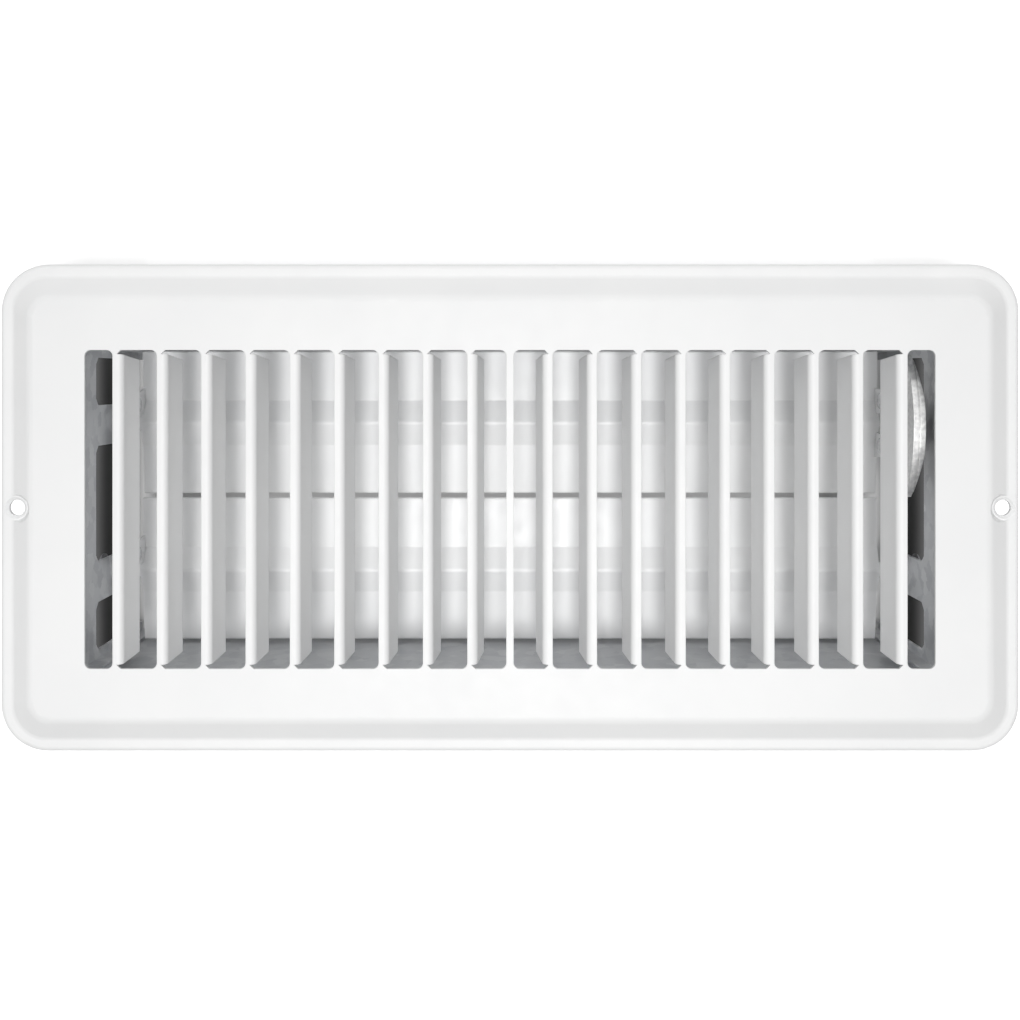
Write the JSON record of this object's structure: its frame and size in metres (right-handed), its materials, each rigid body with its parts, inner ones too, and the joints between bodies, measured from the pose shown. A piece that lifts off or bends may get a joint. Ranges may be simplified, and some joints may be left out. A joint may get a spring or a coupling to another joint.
{
  "type": "floor vent register",
  "caption": "Rectangular floor vent register: white stamped louvre face on a sheet-metal damper box, with linked damper blades turned by a thumb lever.",
  "frame": {"origin": "midway between the two screw holes, on the plane of the floor that the lip rests on", "axes": "+X along the face towards the lever end, +Y across it, +Z out of the floor"},
  "size_m": [0.2922, 0.1396, 0.062],
  "materials": {
    "face_paint": "satin white enamel",
    "blade_paint": "satin white enamel",
    "zinc_sheet": "zinc coated, dull",
    "lever_zinc": "bright zinc plate",
    "rod_steel": "drawn wire",
    "spring_steel": "dark spring steel",
    "rivet_steel": "zinc plate"
  },
  "bodies": {
    "frame": {"face_plate": "face_paint", "side_wall_back": "zinc_sheet", "side_wall_front": "zinc_sheet", "end_plate_left": "zinc_sheet", "end_plate_right": "zinc_sheet"},
    "back_damper": {"damper_blade_back": "blade_paint", "pivot_rod_back": "rod_steel", "push_nuts_back": "spring_steel", "control_lever": "lever_zinc", "lever_rivets": "rivet_steel", "link_rivet_back": "rivet_steel", "friction_washer": "spring_steel"},
    "front_damper": {"damper_blade_front": "blade_paint", "pivot_rod_front": "rod_steel", "push_nuts_front": "spring_steel", "link_rivet_front": "rivet_steel"},
    "link": {"link_bar": "zinc_sheet"}
  },
  "joints": [
    {"name": "damper_lever", "type": "hinge", "parent": "frame", "child": "back_damper", "pos_m": [0, 0.02315, -0.033], "axis": [1, 0, 0], "range_deg": [0, 80]},
    {"name": "front_blade_turn", "type": "hinge", "parent": "frame", "child": "front_damper", "pos_m": [0, -0.02315, -0.033], "axis": [1, 0, 0], "range_deg": [0, 80]},
    {"name": "link_swing", "type": "hinge", "parent": "back_damper", "child": "link", "pos_m": [-0.1167, 0.02894, -0.02611], "axis": [1, 0, 0], "range_deg": [-80, 0]}
  ],
  "couplings": [
    {"joint": "front_blade_turn", "follows": "damper_lever", "ratio": 1},
    {"joint": "link_swing", "follows": "damper_lever", "ratio": -1}
  ]
}
